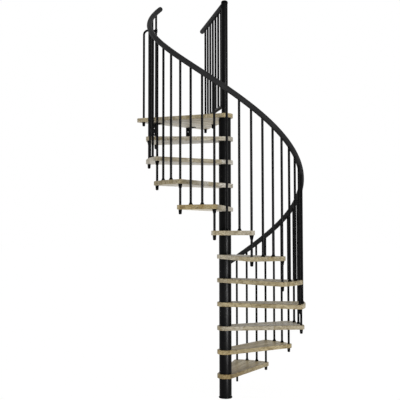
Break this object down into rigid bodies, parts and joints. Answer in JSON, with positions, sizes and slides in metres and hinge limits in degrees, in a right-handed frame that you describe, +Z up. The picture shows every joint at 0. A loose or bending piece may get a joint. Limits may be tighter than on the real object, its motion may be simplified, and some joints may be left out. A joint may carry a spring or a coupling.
{
  "type": "spiral staircase",
  "caption": "Spiral staircase with timber treads threaded on a black steel column, slim balusters, a helical handrail and a landing with a straight guard railing.",
  "frame": {"origin": "centre of the base plate's underside, on the floor and on the column's axis", "axes": "+Z up along the column; +Y out of the landing, square to its floor edge; the stair climbs clockwise seen from above"},
  "size_m": [1.4, 1.4703, 3.5701],
  "materials": {
    "painted_steel": "satin black powder coat",
    "timber": "clear satin lacquer on laminated beech",
    "rail_plastic": "smooth satin black",
    "fitting_plastic": "fine matt black"
  },
  "bodies": {
    "root": {"base_plate": "painted_steel", "core_tube": "painted_steel", "column_spacers": "painted_steel", "railing_bottom_rail": "painted_steel", "railing_bars": "painted_steel", "corner_guard_rod": "painted_steel", "floor_brackets": "painted_steel", "balusters_01": "painted_steel", "balusters_02": "painted_steel", "balusters_03": "painted_steel", "balusters_04": "painted_steel", "balusters_05": "painted_steel", "balusters_06": "painted_steel", "balusters_07": "painted_steel", "balusters_08": "painted_steel", "balusters_09": "painted_steel", "balusters_10": "painted_steel", "balusters_11": "painted_steel", "balusters_12": "painted_steel", "tread_01": "timber", "tread_02": "timber", "tread_03": "timber", "tread_04": "timber", "tread_05": "timber", "tread_06": "timber", "tread_07": "timber", "tread_08": "timber", "tread_09": "timber", "tread_10": "timber", "tread_11": "timber", "landing": "timber", "handrail": "rail_plastic", "railing_top_rail": "rail_plastic", "post_cap": "fitting_plastic", "baluster_feet": "fitting_plastic", "baluster_collars": "fitting_plastic", "baluster_end_caps": "fitting_plastic", "railing_end_caps": "fitting_plastic", "corner_guard_cap": "fitting_plastic"}
  },
  "joints": []
}
